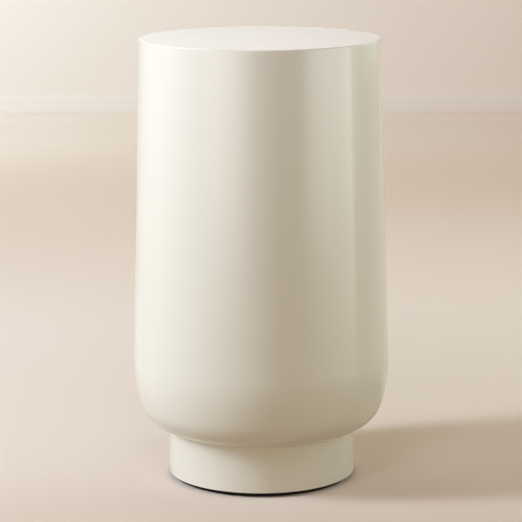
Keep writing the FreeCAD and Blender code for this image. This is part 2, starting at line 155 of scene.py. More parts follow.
class Outline:
    """A half outline in the XZ plane, drawn point by point and then turned round the Z axis."""

    def __init__(self, start: Place) -> None:
        """Starts the outline.

        Args:
            start: radius and height of the first point.
        """
        self.mesh = bmesh.new()
        self.first = self.mesh.verts.new((start[0], 0.0, start[1]))
        self.tip = self.first

    def run_to(self, place: Place, pieces: int = 1) -> "Outline":
        """Draws a straight run.

        Args:
            place: radius and height of its end.
            pieces: how many equal pieces it has.

        Returns:
            The outline itself.
        """
        step = (Vector((place[0], 0.0, place[1])) - self.tip.co) / pieces
        for _ in range(pieces):
            made = bmesh.ops.extrude_vert_indiv(self.mesh, verts=[self.tip])
            self.tip = made["verts"][0]
            bmesh.ops.translate(self.mesh, vec=step, verts=[self.tip])
        return self

    def arc(self, centre: Vector, angle: float, steps: int) -> "Outline":
        """Draws an arc from the tip, anticlockwise seen with the radius to the right and up at the top.

        Args:
            centre: centre of the arc, as across, 0, up.
            angle: the angle it turns by, negative for clockwise.
            steps: how many steps it has.

        Returns:
            The outline itself.
        """
        made = spin(self.mesh, [self.tip], centre, (0.0, -1.0, 0.0), angle, steps)
        self.tip = next(part for part in made["geom_last"] if isinstance(part, bmesh.types.BMVert))
        return self

    def close(self) -> "Outline":
        """Joins the last point to the first."""
        bmesh.ops.contextual_create(self.mesh, geom=[self.tip, self.first])
        return self

    def turn(self, turning: Turning) -> Solid:
        """Turns the outline once round the Z axis.

        Args:
            turning: how many steps the turn has.

        Returns:
            The closed solid.
        """
        parts = self.mesh.verts[:] + self.mesh.edges[:]
        spin(self.mesh, parts, ORIGIN, UPRIGHT, FULL_TURN, turning.value, use_merge=True)
        bmesh.ops.remove_doubles(self.mesh, verts=self.mesh.verts[:], dist=SAME_PLACE)
        return self.mesh


class Piece:
    """One finished piece of the table: a solid that takes its finish and its place on the CAD body."""

    SHARP = math.radians(28.0)

    def __init__(self, name: str, solid: Solid) -> None:
        """Makes the object from its solid.

        Args:
            name: name of the piece.
            solid: its closed mesh, which is used up.
        """
        bmesh.ops.recalc_face_normals(solid, faces=solid.faces[:])
        mesh = bpy.data.meshes.new(name)
        solid.to_mesh(mesh)
        solid.free()
        mesh.shade_smooth()
        mesh.set_sharp_from_angle(angle=self.SHARP)
        self.body = bpy.data.objects.new(name, mesh)
        bpy.context.scene.collection.objects.link(self.body)

    def dress(self, finish: "Finish", *nodes: str) -> None:
        """Gives the piece its finish and puts it in the frame.

        Args:
            finish: the finish that it takes.
            nodes: CAD nodes that it stands for.
        """
        self.body.data.materials.append(finish.material())
        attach(self.body, "root")
        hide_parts(*nodes)
        LOG.info("%s: %d faces, %s", self.body.name, len(self.body.data.polygons), finish.slot)


# ---- materials


class Wiring:
    """Adds nodes to one node tree and joins them.

    A Mix node's colour sockets go by number, because its sockets for numbers have the same names.
    """

    MIX_SHARE, MIX_FIRST, MIX_SECOND, MIX_RESULT = 0, 6, 7, 2

    def __init__(self, tree: bpy.types.NodeTree) -> None:
        """Starts on an empty tree."""
        self.tree = tree
        tree.nodes.clear()

    def add(self, kind: str, inputs: dict[str | int, object] | None = None, **settings: object) -> Node:
        """Adds a node.

        Args:
            kind: Blender's name of the node type.
            inputs: a value or a socket to join for each input, by its name or number.
            settings: the node's own settings.

        Returns:
            The node.
        """
        node = self.tree.nodes.new(kind)
        for name, value in settings.items():
            setattr(node, name, value)
        for name, value in (inputs or {}).items():
            self.feed(node, name, value)
        return node

    def feed(self, node: Node, name: str | int, value: object) -> None:
        """Gives one input of a node a value or joins it to a socket.

        Args:
            node: the node.
            name: name or number of its input.
            value: the value, or the socket to join.
        """
        if isinstance(value, Socket):
            self.tree.links.new(value, node.inputs[name])
        else:
            node.inputs[name].default_value = value

    def math(self, operation: str, first: object, second: object = 0.0) -> Socket:
        """Works out one sum and returns its socket."""
        return self.add("ShaderNodeMath", {0: first, 1: second}, operation=operation).outputs[0]

    def blend(self, share: object, first: object, second: object, way: str = "MIX") -> Socket:
        """Blends two colours.

        Args:
            share: share of the second colour.
            first: the first colour.
            second: the second colour.
            way: Blender's name of the way in which they blend.

        Returns:
            The blended colour's socket.
        """
        feeds = {self.MIX_SHARE: share, self.MIX_FIRST: first, self.MIX_SECOND: second}
        node = self.add("ShaderNodeMix", feeds, data_type="RGBA", blend_type=way)
        return node.outputs[self.MIX_RESULT]

    def either(self, share: object, first: object, second: object) -> Socket:
        """Mixes two shaders and returns the mixed one's socket."""
        return self.add("ShaderNodeMixShader", {0: share, 1: first, 2: second}).outputs[0]

    def between(self, value: object, low: object, high: object, **settings: str) -> Socket:
        """Finds where a value lies from a low end to a high one, as a share from 0 to 1."""
        feeds = {"Value": value, "From Min": low, "From Max": high}
        return self.add("ShaderNodeMapRange", feeds, **settings).outputs["Result"]

    def spread(self, value: object, low: object, high: object) -> Socket:
        """Maps a share from 0 to 1 onto a range and returns its socket."""
        return self.add("ShaderNodeMapRange", {"Value": value, "To Min": low, "To Max": high}).outputs["Result"]


class SharedEffects:
    """Node groups that several finishes use, each built once.

    The drift is a slow change of tone over the surface. The ripple is the soft swell of sprayed paint
    or of a casting, as a height. The speckle is a mask of small scattered grains. All run from 0 to 1.
    """

    DRIFT_SPAN = (0.3, 0.7)
    RIPPLE_SPAN = (0.0, 1.0)
    GRAIN_RIM = 0.12

    def __init__(self) -> None:
        """Builds every group."""
        self.drift = self.make_noise("ToneDrift", 0.2, self.DRIFT_SPAN)
        self.ripple = self.make_noise("SurfaceRipple", 0.005, self.RIPPLE_SPAN)
        self.speckle = self.make_speckle()

    def start(self, name: str, **takes: float) -> tuple[Wiring, Node, dict[str, Socket]]:
        """Starts a group with float inputs, of which one is its Size in metres, and a Share as its output.

        Args:
            name: name of the group.
            takes: its inputs and their defaults.

        Returns:
            Its wiring, its input node, and what sets a texture on the piece at that size.
        """
        tree = bpy.data.node_groups.new(name, "ShaderNodeTree")
        for label, value in takes.items():
            socket = tree.interface.new_socket(label, in_out="INPUT", socket_type="NodeSocketFloat")
            socket.default_value = value
        tree.interface.new_socket("Share", in_out="OUTPUT", socket_type="NodeSocketFloat")
        wiring = Wiring(tree)
        node = wiring.add("NodeGroupInput")
        place = wiring.add("ShaderNodeTexCoord").outputs["Object"]
        return wiring, node, {"Vector": place, "Scale": wiring.math("DIVIDE", 1.0, node.outputs["Size"])}

    def make_noise(self, name: str, size: float, span: Span) -> bpy.types.NodeTree:
        """Builds a group with a soft noise.

        Args:
            name: name of the group.
            size: size of its swells when none is given.
            span: the part of the noise's range that becomes 0 to 1.

        Returns:
            The group.
        """
        wiring, takes, fit = self.start(name, Size=size, Detail=2.0)
        noise = wiring.add("ShaderNodeTexNoise", {**fit, "Detail": takes.outputs["Detail"]})
        wiring.add("NodeGroupOutput", {"Share": wiring.between(noise.outputs["Fac"], *span)})
        return wiring.tree

    def make_speckle(self) -> bpy.types.NodeTree:
        """Builds the group with the grains.

        Returns:
            The group.
        """
        wiring, takes, fit = self.start("SurfaceSpeckle", Size=0.002, Cover=0.3, Stretch=1.0)
        cover, stretch = takes.outputs["Cover"], takes.outputs["Stretch"]
        sides = wiring.add("ShaderNodeCombineXYZ", {"X": stretch, "Y": 1.0, "Z": stretch})
        long = wiring.add("ShaderNodeVectorMath", {0: fit["Vector"], 1: sides.outputs[0]}, operation="MULTIPLY")
        cells = wiring.add("ShaderNodeTexVoronoi", {**fit, "Vector": long.outputs[0]})
        edge = wiring.math("ADD", cover, self.GRAIN_RIM)
        outside = wiring.between(cells.outputs["Distance"], cover, edge)
        wiring.add("NodeGroupOutput", {"Share": wiring.math("SUBTRACT", 1.0, outside)})
        return wiring.tree


EFFECTS = SharedEffects()


class Layers(NamedTuple):
    """What a finish lays on its shader: tone, what roughness follows, relief, and its plain values."""

    tone: Socket
    share: Socket
    height: Socket
    plain: dict[str, float] = {}


@dataclass(frozen=True)
class Finish:
    """What every finish has: name, the record's slot, colour, range of roughness and depth of relief."""

    name: str
    slot: str
    colour: Colour
    rough: Span
    depth: float

    def material(self) -> bpy.types.Material:
        """Gives the finish as a material, made once.

        Returns:
            The material.
        """
        found = bpy.data.materials.get(self.name)
        if found is not None:
            return found
        made = bpy.data.materials.new(self.name)
        made.use_nodes = True
        made.diffuse_color = (*self.colour, 1.0)
        wiring = Wiring(made.node_tree)
        layers = self.lay(wiring)
        bump = wiring.add("ShaderNodeBump", {"Height": layers.height, "Distance": self.depth, "Strength": 1.0})
        shader = wiring.add("ShaderNodeBsdfPrincipled", {
            "Base Color": layers.tone, "Roughness": wiring.spread(layers.share, *self.rough),
            "Normal": bump.outputs["Normal"], **layers.plain,
        })
        wiring.add("ShaderNodeOutputMaterial", {"Surface": shader.outputs["BSDF"]})
        return made

    def lay(self, wiring: Wiring) -> Layers:
        """Wires what the finish lays on its shader.

        Args:
            wiring: wiring of the material's tree.

        Returns:
            Its layers.
        """
        raise NotImplementedError

    def shade(self, share: float) -> tuple[float, float, float, float]:
        """The finish's colour made lighter or darker by a share."""
        return (*(min(1.0, value * share) for value in self.colour), 1.0)

    def shades(self, wiring: Wiring, share: Socket, low: float, high: float) -> Socket:
        """Lets the finish's colour run between two shades of it, and returns its socket."""
        return wiring.blend(share, self.shade(low), self.shade(high))

    def effect(self, wiring: Wiring, group: bpy.types.NodeTree, **values: float) -> Socket:
        """Places a shared effect with its own values, and returns its output socket."""
        return wiring.add("ShaderNodeGroup", values, node_tree=group).outputs[0]


@dataclass(frozen=True)
class Lacquer(Finish):
    """Sprayed ivory lacquer under a clear coat."""

    rough: Span = (0.30, 0.36)
    depth: float = 0.0000025
    tone_spread: float = 0.012
    coat: float = 1.0
    coat_roughness: float = 0.10

    def lay(self, wiring: Wiring) -> Layers:
        """Wires a faint drift of tone, clouds in the gloss and the spray's soft ripple.

        Args:
            wiring: wiring of the material's tree.

        Returns:
            Its layers.
        """
        drift = self.effect(wiring, EFFECTS.drift, Size=0.22, Detail=2.0)
        tone = self.shades(wiring, drift, 1.0 - self.tone_spread, 1.0 + self.tone_spread)
        cloud = self.effect(wiring, EFFECTS.drift, Size=0.05, Detail=3.0)
        ripple = self.effect(wiring, EFFECTS.ripple, Size=0.006, Detail=1.0)
        return Layers(tone, cloud, ripple, {"Coat Weight": self.coat, "Coat Roughness": self.coat_roughness})


@dataclass(frozen=True)
class SprayedPaint(Finish):
    """Primer or powder coat: a paint with grain, and a slow drift of tone."""

    rough: Span = (0.75, 0.6)
    depth: float = 0.00002
    tone_spread: float = 0.10
    grain_size: float = 0.0009

    def lay(self, wiring: Wiring) -> Layers:
        """Wires the drift of tone and the fine grain.

        Args:
            wiring: wiring of the material's tree.

        Returns:
            Its layers.
        """
        drift = self.effect(wiring, EFFECTS.drift, Size=0.035, Detail=4.0)
        grain = self.effect(wiring, EFFECTS.ripple, Size=self.grain_size, Detail=2.0)
        return Layers(self.shades(wiring, drift, 1.0 - self.tone_spread, 1.0 + self.tone_spread), drift, grain)


@dataclass(frozen=True)
class SandedBoard(Finish):
    """Pressed wood board with its flakes."""

    rough: Span = (0.82, 0.7)
    depth: float = 0.00006
    ground: Span = (0.88, 1.1)
    flake: float = 1.32
    dust: float = 0.62

    def lay(self, wiring: Wiring) -> Layers:
        """Wires light and dark flakes.

        Args:
            wiring: wiring of the material's tree.

        Returns:
            Its layers.
        """
        flakes = self.effect(wiring, EFFECTS.speckle, Size=0.0035, Cover=0.28, Stretch=0.35)
        dust = self.effect(wiring, EFFECTS.speckle, Size=0.0012, Cover=0.22, Stretch=1.0)
        drift = self.effect(wiring, EFFECTS.drift, Size=0.03, Detail=5.0)
        pale = wiring.blend(flakes, self.shades(wiring, drift, *self.ground), self.shade(self.flake))
        tone = wiring.blend(dust, pale, self.shade(self.dust))
        return Layers(tone, flakes, wiring.math("SUBTRACT", flakes, dust))


@dataclass(frozen=True)
class CastIron(Finish):
    """Painted casting with sand marks and pits."""

    rough: Span = (0.5, 0.78)
    depth: float = 0.00022
    ground: Span = (0.7, 1.35)
    pit: float = 0.45

    def lay(self, wiring: Wiring) -> Layers:
        """Wires the casting's swells and pits.

        Args:
            wiring: wiring of the material's tree.

        Returns:
            Its layers.
        """
        pits = self.effect(wiring, EFFECTS.speckle, Size=0.004, Cover=0.14, Stretch=1.0)
        swell = self.effect(wiring, EFFECTS.ripple, Size=0.0022, Detail=5.0)
        tone = wiring.blend(pits, self.shades(wiring, swell, *self.ground), self.shade(self.pit))
        return Layers(tone, swell, wiring.math("SUBTRACT", swell, pits))


@dataclass(frozen=True)
class ZincPlate(Finish):
    """Bright zinc plate with its faint spangle."""

    rough: Span = (0.22, 0.38)
    depth: float = 0.000008
    ground: Span = (0.9, 1.06)

    def lay(self, wiring: Wiring) -> Layers:
        """Wires the plate's spangle and makes it metal.

        Args:
            wiring: wiring of the material's tree.

        Returns:
            Its layers.
        """
        spangle = self.effect(wiring, EFFECTS.drift, Size=0.0018, Detail=3.0)
        grain = self.effect(wiring, EFFECTS.ripple, Size=0.0004, Detail=2.0)
        return Layers(self.shades(wiring, spangle, *self.ground), spangle, grain, {"Metallic": 1.0})


@dataclass(frozen=True)
class GrainedRubber(Finish):
    """Matt black rubber with a fine leathery grain."""

    rough: Span = (0.86, 0.72)
    depth: float = 0.00005
    ground: Span = (0.85, 1.5)
    gloss: float = 0.25

    def lay(self, wiring: Wiring) -> Layers:
        """Wires the grain and a little dust.

        Args:
            wiring: wiring of the material's tree.

        Returns:
            Its layers.
        """
        grain = self.effect(wiring, EFFECTS.speckle, Size=0.0011, Cover=0.36, Stretch=1.0)
        dust = self.effect(wiring, EFFECTS.drift, Size=0.02, Detail=4.0)
        return Layers(self.shades(wiring, dust, *self.ground), grain, grain, {"Specular IOR Level": self.gloss})


class Finishes:
    """Every finish of the table."""

    LACQUER = Lacquer("ivory_lacquer", "lacquer", (0.76, 0.73, 0.63))
    PRIMER = SprayedPaint("grey_primer", "primed_steel", (0.30, 0.30, 0.29))
    BLACK_COAT = SprayedPaint(
        "black_powder_coat", "base_black", (0.022, 0.022, 0.023),
        rough=(0.55, 0.42), depth=0.00004, tone_spread=0.15, grain_size=0.0008,
    )
    BOARD = SandedBoard("sanded_board", "board", (0.48, 0.34, 0.20))
    IRON = CastIron("cast_iron", "ballast_iron", (0.05, 0.05, 0.052))
    ZINC = ZincPlate("bright_zinc", "zinc_steel", (0.62, 0.63, 0.64))
    RUBBER = GrainedRubber("black_rubber", "pad_rubber", (0.009, 0.0085, 0.008))


# ---- the table


@dataclass
class Drum:
    """The lacquered drum: flat top with its rim, tapered side and spun bowl."""

    form: DrumForm = field(default_factory=DrumForm)
    wall: float = 0.0012
    top_thickness: float = 0.002
    rim_radius: float = 0.0015
    collar_radius: float = 0.1088
    collar_height: float = 0.014
    soft_edge: float = 0.0004
    rim_steps: int = 12
    side_steps: int = 12
    shoulder_steps: int = 72
    corner_steps: int = 56
    underside_steps: int = 4
    bend_steps: int = 8
    inner_underside_steps: int = 3
    inner_corner_steps: int = 20
    inner_shoulder_steps: int = 16

    def top_sheet(self) -> Solid:
        """Flat top with its rounded rim.

        Returns:
            The solid.
        """
        form = self.form
        height = form.table_height
        under = height - self.top_thickness
        setback = self.rim_radius * math.tan((QUARTER_TURN - form.side_taper) / 2.0)
        corner = form.side_radius(height)
        side_place = (
            corner + setback * math.sin(form.side_taper),
            height - setback * math.cos(form.side_taper),
        )
        centre = Vector((corner - setback, 0.0, height - self.rim_radius))
        outline = Outline((0.0, under))
        outline.run_to((form.side_radius(under) - self.soft_edge, under)).run_to((form.side_radius(under), under))
        outline.run_to(side_place).arc(centre, QUARTER_TURN - form.side_taper, self.rim_steps)
        outline.run_to((corner - setback - self.soft_edge, height)).run_to((0.0, height))
        return outline.turn(Turning.SHEET)

    def side_sheet(self) -> Solid:
        """Rolled side, from the seam with the bowl up to the top.

        Returns:
            The solid.
        """
        form = self.form
        under = form.table_height - self.top_thickness
        outline = Outline(form.seam())
        outline.run_to((form.side_radius(under), under), self.side_steps)
        outline.run_to((form.side_radius(under, self.wall), under))
        outline.run_to(form.seam(self.wall), self.side_steps).close()
        return outline.turn(Turning.SHEET)

    def bowl_sheet(self) -> Solid:
        """Spun bowl: shoulder, round corner, sloping underside, and the collar that drops into the foot.

        Returns:
            The solid.
        """
        form, wall = self.form, self.wall
        slope = form.underside_slope
        bend = Vector((self.collar_radius, 0.0, form.underside_height(self.collar_radius)))
        shoulder_turn = form.side_taper + form.shoulder_lean
        corner_turn = QUARTER_TURN - slope - form.shoulder_lean
        outline = Outline(form.seam())
        outline.arc(form.shoulder_centre(), -shoulder_turn, self.shoulder_steps)
        outline.arc(form.corner_centre(), -corner_turn, self.corner_steps)
        outline.run_to((form.foot_radius, form.foot_height), self.underside_steps)
        outline.run_to((bend.x, bend.z))
        outline.run_to((bend.x, bend.z - self.collar_height))
        outline.run_to((bend.x - wall, bend.z - self.collar_height))
        outline.run_to((bend.x - wall, bend.z))
        outline.arc(bend, -(QUARTER_TURN - slope), self.bend_steps)
        outline.run_to(form.corner_end(wall), self.inner_underside_steps)
        outline.arc(form.corner_centre(), corner_turn, self.inner_corner_steps)
        outline.arc(form.shoulder_centre(), shoulder_turn, self.inner_shoulder_steps)
        outline.close()
        return outline.turn(Turning.SHEET)

    def build(self) -> None:
        """Builds and dresses the drum's pieces."""
        Piece("top_sheet", self.top_sheet()).dress(Finishes.LACQUER, "top_panel")
        Piece("side_sheet", self.side_sheet()).dress(Finishes.LACQUER, "side_shell")
        Piece("bowl_sheet", self.bowl_sheet()).dress(Finishes.LACQUER, "bottom_bowl")


@dataclass
class Foot:
    """The straight foot and the floor pad set back under it."""

    form: DrumForm = field(default_factory=DrumForm)
    wall: float = 0.002
    pad_radius: float = 0.1045
    pad_thickness: float = 0.0056
    edge: float = 0.0003
    edge_steps: int = 4
    edges_to_side: float = 3.0
    side_steps: int = 6
    pad_edge: float = 0.0008
    pad_edge_steps: int = 5

    def foot_sheet(self) -> Solid:
        """Rolled foot with its eased lower edge.

        Returns:
            The solid.
        """
        form = self.form
        inside = form.foot_radius - self.wall
        low, edge = self.pad_thickness, self.edge
        outline = Outline((inside, low + edge))
        outline.arc(Vector((inside + edge, 0.0, low + edge)), QUARTER_TURN, self.edge_steps)
        outline.run_to((form.foot_radius - edge, low))
        outline.arc(Vector((form.foot_radius - edge, 0.0, low + edge)), QUARTER_TURN, self.edge_steps)
        outline.run_to((form.foot_radius, low + self.edges_to_side * edge))
        outline.run_to((form.foot_radius, form.foot_height), self.side_steps)
        outline.run_to((inside, form.underside_height(inside)))
        outline.close()
        return outline.turn(Turning.SHEET)

    def floor_pad(self) -> Solid:
        """Round pad with eased edges.

        Returns:
            The solid.
        """
        edge, radius, top = self.pad_edge, self.pad_radius, self.pad_thickness
        outline = Outline((0.0, 0.0))
        outline.run_to((radius - 2.0 * edge, 0.0)).run_to((radius - edge, 0.0))
        outline.arc(Vector((radius - edge, 0.0, edge)), QUARTER_TURN, self.pad_edge_steps)
        outline.run_to((radius, top)).run_to((0.0, top))
        return outline.turn(Turning.SHEET)

    def build(self) -> None:
        """Builds and dresses the foot's pieces."""
        Piece("foot_sheet", self.foot_sheet()).dress(Finishes.LACQUER, "foot_ring")
        Piece("floor_pad", self.floor_pad()).dress(Finishes.RUBBER, "base_pad")


@dataclass(frozen=True)
class Thread:
    """A metric screw thread. Its groove, half its crest and its flank are shares of the pitch."""

    radius: float
    pitch: float
    rings: int = 8
    groove: float = 0.6134
    half_crest: float = 0.0625
    flank: float = 0.3125

    def depth(self) -> float:
        """Depth of the groove."""
        return self.groove * self.pitch

    def reach(self, place: Vector) -> float:
        """Radius of the thread's surface at a place round its own axis.

        Args:
            place: the place, of which the angle and the height count.

        Returns:
            The radius.
        """
        turn = math.atan2(place.y, place.x) / FULL_TURN
        from_crest = abs((place.z / self.pitch - turn) % 1.0 - 0.5)
        share = (from_crest - self.half_crest) / self.flank
        return self.radius - self.depth() * min(1.0, max(0.0, share))

    def steps(self, length: float) -> int:
        """How many steps a threaded length has."""
        return max(1, round(length / self.pitch * self.rings))


@dataclass(frozen=True)
class Hexagon:
    """A hexagon given across its flats, with a corner on the X axis."""

    flats: float
    side_turn: float = FULL_TURN / 6.0

    def corner(self) -> float:
        """Radius of its corners."""
        return self.flats / 2.0 / math.cos(self.side_turn / 2.0)

    def reach(self, place: Vector) -> float:
        """Radius of the hexagon at a place's angle."""
        turn = math.atan2(place.y, place.x) % self.side_turn
        return self.flats / 2.0 / math.cos(turn - self.side_turn / 2.0)


@dataclass
class Fixing:
    """A ring of countersunk screws and the nuts on them."""

    screw: str
    screw_node: str
    nut: str
    nut_node: str
    thread: Thread
    circle: float
    count: int
    head: float
    socket: Hexagon
    socket_depth: float
    threaded: float
    nut_form: Hexagon
    broken_edge: float = 0.00015
    clearance: float = 0.00005
    bore_mouth: float = 0.0003
    nut_face: float = 0.95
    nut_chamfer: float = math.radians(30.0)
    socket_steps: int = 2
    cone_steps: int = 3
    tip_steps: int = 4
    chamfer_steps: int = 6

    def set_round(self, solid: Solid) -> Solid:
        """Sets copies of a solid in the ring.

        Args:
            solid: one screw, nut or washer on the Z axis.

        Returns:
            The same mesh with all of them.
        """
        bmesh.ops.translate(solid, vec=(self.circle, 0.0, 0.0), verts=solid.verts[:])
        parts, turns = solid.verts[:] + solid.edges[:] + solid.faces[:], self.count - 1
        spin(solid, parts, ORIGIN, UPRIGHT, FULL_TURN * turns / self.count, turns, use_duplicate=True)
        return solid

    def move_out(self, vert: bmesh.types.BMVert, radius: float) -> None:
        """Moves a point outwards or inwards from the Z axis.

        Args:
            vert: the point.
            radius: its new radius.
        """
        share = radius / math.hypot(vert.co.x, vert.co.y)
        vert.co.x *= share
        vert.co.y *= share

    def screws(self) -> Solid:
        """Countersunk screws with hex sockets and their threads.

        Returns:
            The solids.
        """
        low, high = (corner[2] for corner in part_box(self.screw_node))
        thread, rim, inner = self.thread, self.head / 2.0, self.socket.flats / 2.0
        floor, start = low + self.socket_depth, high - self.threaded
        tip = thread.radius - thread.depth() - self.broken_edge
        shoulder = high - (thread.radius - tip)
        outline = Outline((0.0, floor))
        outline.run_to((inner, floor), self.socket_steps).run_to((inner, low + self.broken_edge))
        outline.run_to((self.socket.corner() + self.broken_edge, low)).run_to((rim - 2.0 * self.broken_edge, low))
        outline.run_to((rim - self.broken_edge, low + self.broken_edge))
        outline.run_to((thread.radius, low + rim - thread.radius), self.cone_steps)
        outline.run_to((thread.radius, start))
        outline.run_to((thread.radius, shoulder), thread.steps(shoulder - start))
        outline.run_to((tip, high), self.tip_steps).run_to((0.0, high))
        solid = outline.turn(Turning.FASTENER)
        for vert in solid.verts:
            across = math.hypot(vert.co.x, vert.co.y)
            if abs(across - inner) < SAME_PLACE and vert.co.z < floor + SAME_PLACE:
                self.move_out(vert, self.socket.reach(vert.co))
            elif across > tip and vert.co.z > start:
                fade = min(1.0, (vert.co.z - start) / thread.pitch)
                cut = (thread.radius - thread.reach(vert.co)) * fade
                self.move_out(vert, min(across, thread.radius - cut))
        return self.set_round(solid)

    def nuts(self) -> Solid:
        """Chamfered hex nuts, threaded to fit their screws.

        Returns:
            The solids.
        """
        low, high = (corner[2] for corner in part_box(self.nut_node))
        bore, mouth = self.thread.radius + self.clearance, self.bore_mouth
        face, corner = self.nut_face * self.nut_form.flats / 2.0, self.nut_form.corner()
        drop = (corner - face) * math.tan(self.nut_chamfer)
        outline = Outline((bore, low + mouth))
        outline.run_to((bore, high - mouth), self.thread.steps(high - low - 2.0 * mouth))
        outline.run_to((bore + mouth, high)).run_to((face, high))
        outline.run_to((corner, high - drop), self.chamfer_steps).run_to((corner, low + drop))
        outline.run_to((face, low), self.chamfer_steps).run_to((bore + mouth, low)).close()
        solid = outline.turn(Turning.FASTENER)
        for vert in solid.verts:
            across = math.hypot(vert.co.x, vert.co.y)
            if abs(across - bore) < SAME_PLACE:
                self.move_out(vert, self.thread.reach(vert.co) + self.clearance)
            elif across > face + SAME_PLACE:
                share = (across - face) / (corner - face)
                out = (self.nut_form.reach(vert.co) - face) * share
                self.move_out(vert, face + out)
                fall = out * math.tan(self.nut_chamfer)
                vert.co.z = high - fall if vert.co.z > (low + high) / 2.0 else low + fall
        return self.set_round(solid)

    def build(self) -> None:
        """Builds and dresses the screws and their nuts."""
        Piece(self.screw, self.screws()).dress(Finishes.ZINC, self.screw_node)
        Piece(self.nut, self.nuts()).dress(Finishes.ZINC, self.nut_node)


@dataclass
class Base:
    """What holds the foot's plate and the weight on it."""

    washer_radius: float = 0.006
    washer_bore: float = 0.0033
    washer_edge: float = 0.0002
    washer_edge_steps: int = 3
    plate_fixing: Fixing = field(default_factory=lambda: Fixing(
        screw="plate_screws", screw_node="base_screws", nut="weld_nuts", nut_node="lug_nuts",
        thread=Thread(0.0025, 0.0008), circle=0.093, count=4, head=0.0092, socket=Hexagon(0.003),
        socket_depth=0.0018, threaded=0.0094, nut_form=Hexagon(0.008),
    ))
    weight_fixing: Fixing = field(default_factory=lambda: Fixing(
        screw="weight_bolts", screw_node="ballast_bolts", nut="weight_nuts", nut_node="ballast_nuts",
        thread=Thread(0.003, 0.001), circle=0.045136, count=3, head=0.0118, socket=Hexagon(0.004),
        socket_depth=0.0024, threaded=0.018, nut_form=Hexagon(0.010),
    ))

    def washers(self) -> Solid:
        """Plain washers under the weight's nuts.

        Returns:
            The solids.
        """
        low, high = (corner[2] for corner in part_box("ballast_washers"))
        bore, radius, edge = self.washer_bore, self.washer_radius, self.washer_edge
        outline = Outline((bore, low + edge))
        outline.run_to((bore, high - edge)).run_to((bore + edge, high)).run_to((radius - edge, high))
        outline.arc(Vector((radius - edge, 0.0, high - edge)), -QUARTER_TURN, self.washer_edge_steps)
        outline.run_to((radius, low + edge))
        outline.arc(Vector((radius - edge, 0.0, low + edge)), -QUARTER_TURN, self.washer_edge_steps)
        outline.run_to((bore + edge, low)).close()
        return self.weight_fixing.set_round(outline.turn(Turning.FASTENER))

    def build(self) -> None:
        """Builds and dresses the screws, bolts, nuts and washers."""
        self.plate_fixing.build()
        self.weight_fixing.build()
        Piece("weight_washers", self.washers()).dress(Finishes.ZINC, "ballast_washers")


@dataclass
class CarriedOver:
    """CAD nodes whose shape is right as it is, with the finish that each takes."""

    finishes: tuple[tuple[Finish, tuple[str, ...]], ...] = (
        (Finishes.PRIMER, ("top_seat_ring", "seam_hoop", "foot_lug_1", "foot_lug_2", "foot_lug_3", "foot_lug_4")),
        (Finishes.BOARD, ("top_backing_board",)),
        (Finishes.BLACK_COAT, ("base_plate",)),
        (Finishes.IRON, ("ballast_disc",)),
    )

    def build(self) -> None:
        """Gives each node its finish."""
        for finish, names in self.finishes:
            for node in (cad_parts[name] for name in names):
                node.data.materials.clear()
                node.data.materials.append(finish.material())
                LOG.info("%s: kept, %s", node.name, finish.slot)


# ---- studio


class Panel(Enum):
    """How a panel's light is spread over its face, and what it lights."""

    SOFT = "fades towards every edge"
    BEAM = "fades towards every edge, and doesn't show in gloss"
    CARD = "grows towards one crisp edge, and shows in gloss alone"


@dataclass(frozen=True)
class Lamp:
    """One panel lamp. A rise from 0 and a hill are lifted so that their mean over the panel is 1."""

    name: str
    place: Point
    aim: Point
    width: float
    height: float
    watts: float
    colour: Colour
    panel: Panel = Panel.SOFT
    rise_lift: float = 2.0
    hill_lift: float = 6.0

    def build(self) -> bpy.types.Object:
        """Hangs the lamp.

        Returns:
            The lamp's object.
        """
        light = bpy.data.lights.new(self.name, "AREA")
        light.shape = "RECTANGLE"
        light.size, light.size_y = self.width, self.height
        light.energy, light.color = self.watts, self.colour
        self.shine(light)
        lamp = bpy.data.objects.new(self.name, light)
        lamp.location = self.place
        way = Vector(self.aim) - Vector(self.place)
        lamp.rotation_euler = way.to_track_quat("-Z", "Y").to_euler()
        lamp.visible_camera = False
        lamp.visible_diffuse = self.panel is not Panel.CARD
        lamp.visible_glossy = self.panel is not Panel.BEAM
        bpy.context.scene.collection.objects.link(lamp)
        return lamp

    def shine(self, light: bpy.types.Light) -> None:
        """Spreads the light over the panel's face, at the same watts.

        Args:
            light: the panel's lamp data.
        """
        light.use_nodes = True
        wiring = Wiring(light.node_tree)
        spot = wiring.add("ShaderNodeNewGeometry")
        place = wiring.add("ShaderNodeSeparateXYZ", {"Vector": spot.outputs["Parametric"]})
        if self.panel is Panel.CARD:
            across = wiring.math("MULTIPLY", place.outputs["X"], self.rise_lift)
        else:
            across = self.fade(wiring, place, "X", 1.0)
        panel = wiring.add("ShaderNodeEmission", {"Strength": self.fade(wiring, place, "Y", across)})
        wiring.add("ShaderNodeOutputLight", {"Surface": panel.outputs[0]})

    def fade(self, wiring: Wiring, place: Node, axis: str, glow: object) -> Socket:
        """Fades a glow towards both ends of an axis of the panel, at the same mean.

        Args:
            wiring: wiring of the lamp's tree.
            place: node with the place on the panel.
            axis: the axis.
            glow: the glow before, as a number or a socket.

        Returns:
            The faded glow's socket.
        """
        rest = wiring.math("SUBTRACT", 1.0, place.outputs[axis])
        hill = wiring.math("MULTIPLY", wiring.math("MULTIPLY", place.outputs[axis], rest), self.hill_lift)
        return wiring.math("MULTIPLY", hill, glow)


